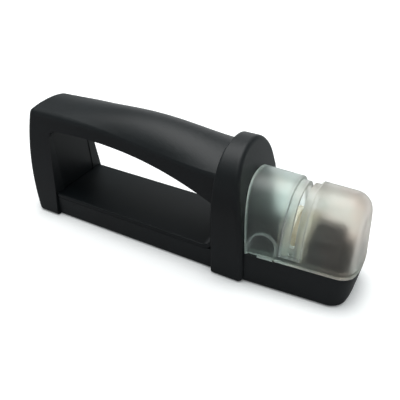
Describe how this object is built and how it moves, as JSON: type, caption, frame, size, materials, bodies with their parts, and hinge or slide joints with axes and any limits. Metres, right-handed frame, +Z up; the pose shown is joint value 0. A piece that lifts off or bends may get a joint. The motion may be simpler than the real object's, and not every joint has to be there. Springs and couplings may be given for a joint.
{
  "type": "pull through knife sharpener",
  "caption": "Hand-held pull through knife sharpener: loop grip, hand guard, water tray and translucent cover with a blade slot over interlocking ceramic wheels.",
  "frame": {"origin": "on the resting surface, below the middle of the overall length and width", "axes": "+X from the rear leg to the tip with the blade slot, +Y to the left of someone who looks along +X, +Z up"},
  "size_m": [0.1901, 0.0475, 0.0678],
  "materials": {
    "casing_plastic": "fine moulded texture",
    "liner_plastic": "satin",
    "cover_plastic": "translucent, faintly frosted",
    "cradle_plastic": "satin",
    "wheel_ceramic": "matt, fine grained",
    "hub_plastic": "smooth",
    "washer_plastic": "smooth",
    "steel": "turned",
    "foot_rubber": "matt"
  },
  "bodies": {
    "casing": {"handle_body": "casing_plastic", "grip_liner": "liner_plastic", "deck_liner": "liner_plastic", "base_body": "casing_plastic", "bottom_plate": "casing_plastic", "case_screws": "steel", "plate_screws": "steel", "rear_left_foot": "foot_rubber", "rear_right_foot": "foot_rubber", "front_left_foot": "foot_rubber", "front_right_foot": "foot_rubber", "cradle_frame": "cradle_plastic", "cradle_front_block": "cradle_plastic", "cradle_screws": "steel", "wheel_axle": "steel", "rear_spacer_washer": "washer_plastic", "front_spacer_washer": "washer_plastic"},
    "cover": {"clear_cover": "cover_plastic"},
    "wheel_set": {"rear_ceramic_wheel": "wheel_ceramic", "front_ceramic_wheel": "wheel_ceramic", "wheel_hub": "hub_plastic", "hub_flange_ring": "hub_plastic"}
  },
  "joints": [
    {"name": "wheel_spin", "type": "hinge", "parent": "casing", "child": "wheel_set", "pos_m": [0.0645, 0, 0.0225], "axis": [1, 0, 0], "continuous": true},
    {"name": "cover_lift", "type": "slide", "parent": "casing", "child": "cover", "axis": [0, 0, 1], "range_m": [0, 0.06]}
  ]
}
